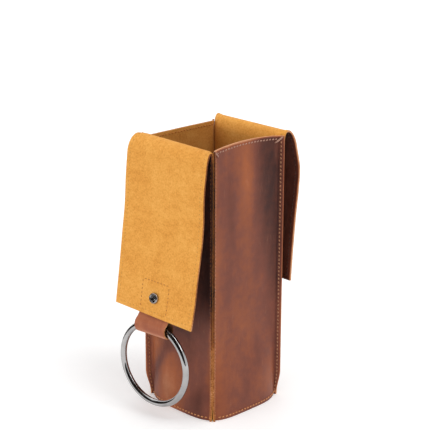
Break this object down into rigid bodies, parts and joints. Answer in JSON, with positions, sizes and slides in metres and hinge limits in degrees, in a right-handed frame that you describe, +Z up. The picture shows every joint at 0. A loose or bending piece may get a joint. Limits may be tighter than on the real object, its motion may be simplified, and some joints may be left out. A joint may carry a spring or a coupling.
{
  "type": "leather bottle carrier",
  "caption": "Tall square leather pocket for a bottle, its side walls folded out into hanging flaps that end in tabs with steel carrying rings and a snap.",
  "frame": {"origin": "middle of the base's underside, on the floor", "axes": "+Z up out of the pocket's mouth, -Y towards the front wall, -X towards the left flap, +X towards the right flap"},
  "size_m": [0.1519, 0.1044, 0.2635],
  "materials": {
    "grain_leather": "waxed smooth grain, reddish brown",
    "suede_leather": "napped flesh side, mustard",
    "tab_leather": "waxed smooth grain, lighter brown",
    "thread": "waxed twisted thread",
    "ring_steel": "polished dark nickel plate",
    "snap_steel": "dark nickel plate",
    "spring_steel": "bare spring wire"
  },
  "bodies": {
    "carrier": {"front_panel": "grain_leather", "right_panel": "grain_leather", "back_panel": "grain_leather", "left_panel": "grain_leather", "base_panel": "grain_leather", "left_fold": "suede_leather", "right_fold": "suede_leather", "front_right_seam": "thread", "back_right_seam": "thread", "back_left_seam": "thread", "front_left_seam": "thread", "base_seam": "thread", "front_rim_stitch": "thread", "back_rim_stitch": "thread"},
    "left_flap": {"left_flap": "suede_leather", "left_tab": "tab_leather", "snap_cap": "snap_steel", "snap_socket": "snap_steel", "snap_spring": "spring_steel", "left_flap_stitch": "thread", "left_tab_stitch": "thread"},
    "right_flap": {"right_flap": "suede_leather", "right_tab": "tab_leather", "snap_stud": "snap_steel", "snap_post": "snap_steel", "right_flap_stitch": "thread", "right_tab_stitch": "thread"},
    "left_ring": {"left_ring": "ring_steel"},
    "right_ring": {"right_ring": "ring_steel"}
  },
  "joints": [
    {"name": "left_flap_fold", "type": "hinge", "parent": "carrier", "child": "left_flap", "pos_m": [-0.05076, 0, 0.26337], "axis": [0, 1, 0], "range_deg": [0, 180], "deforming": ["left_fold"]},
    {"name": "right_flap_fold", "type": "hinge", "parent": "carrier", "child": "right_flap", "pos_m": [0.05157, 0, 0.26612], "axis": [0, -1, 0], "range_deg": [0, 180], "deforming": ["right_fold"]},
    {"name": "left_ring_swing", "type": "hinge", "parent": "left_flap", "child": "left_ring", "pos_m": [-0.07647, 0, 0.0904], "axis": [-0.0941, 0.9956, 0], "range_deg": [-10, 20]},
    {"name": "right_ring_swing", "type": "hinge", "parent": "right_flap", "child": "right_ring", "pos_m": [0.05547, 0, 0.1036], "axis": [-0.1392, -0.9903, 0], "range_deg": [0, 20]}
  ]
}
